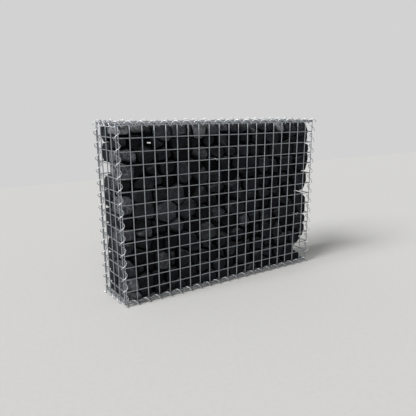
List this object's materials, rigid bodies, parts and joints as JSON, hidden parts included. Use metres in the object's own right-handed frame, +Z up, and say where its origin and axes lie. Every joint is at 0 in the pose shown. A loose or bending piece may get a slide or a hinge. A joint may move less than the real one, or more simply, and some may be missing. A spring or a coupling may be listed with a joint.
{
  "type": "gabion wall",
  "caption": "Free-standing rectangular gabion: welded wire mesh basket laced along its edges with spiral binders and filled with broken dark stone.",
  "frame": {"origin": "on the ground under the middle of the basket", "axes": "+X along the wall to the right seen from its front, -Y the front, +Z up"},
  "size_m": [1.0285, 0.2256, 0.7263],
  "materials": {
    "galvanised_mesh": "dull hot-dip zinc",
    "galvanised_spiral": "bright drawn zinc-coated wire",
    "broken_stone": "matt broken basalt"
  },
  "bodies": {
    "root": {"back_bottom_spiral": "galvanised_spiral", "back_left_spiral": "galvanised_spiral", "back_panel": "galvanised_mesh", "back_right_spiral": "galvanised_spiral", "back_top_spiral": "galvanised_spiral", "base_panel": "galvanised_mesh", "front_bottom_spiral": "galvanised_spiral", "front_left_spiral": "galvanised_spiral", "front_panel": "galvanised_mesh", "front_right_spiral": "galvanised_spiral", "front_top_spiral": "galvanised_spiral", "left_bottom_spiral": "galvanised_spiral", "left_end_panel": "galvanised_mesh", "left_top_spiral": "galvanised_spiral", "lid_panel": "galvanised_mesh", "lower_spacer_tie": "galvanised_spiral", "right_bottom_spiral": "galvanised_spiral", "right_end_panel": "galvanised_mesh", "right_top_spiral": "galvanised_spiral", "stone_course_1": "broken_stone", "stone_course_2": "broken_stone", "stone_course_3": "broken_stone", "stone_course_4": "broken_stone", "stone_course_5": "broken_stone", "stone_course_6": "broken_stone", "stone_course_7": "broken_stone", "stone_course_8": "broken_stone", "upper_spacer_tie": "galvanised_spiral"}
  },
  "joints": []
}
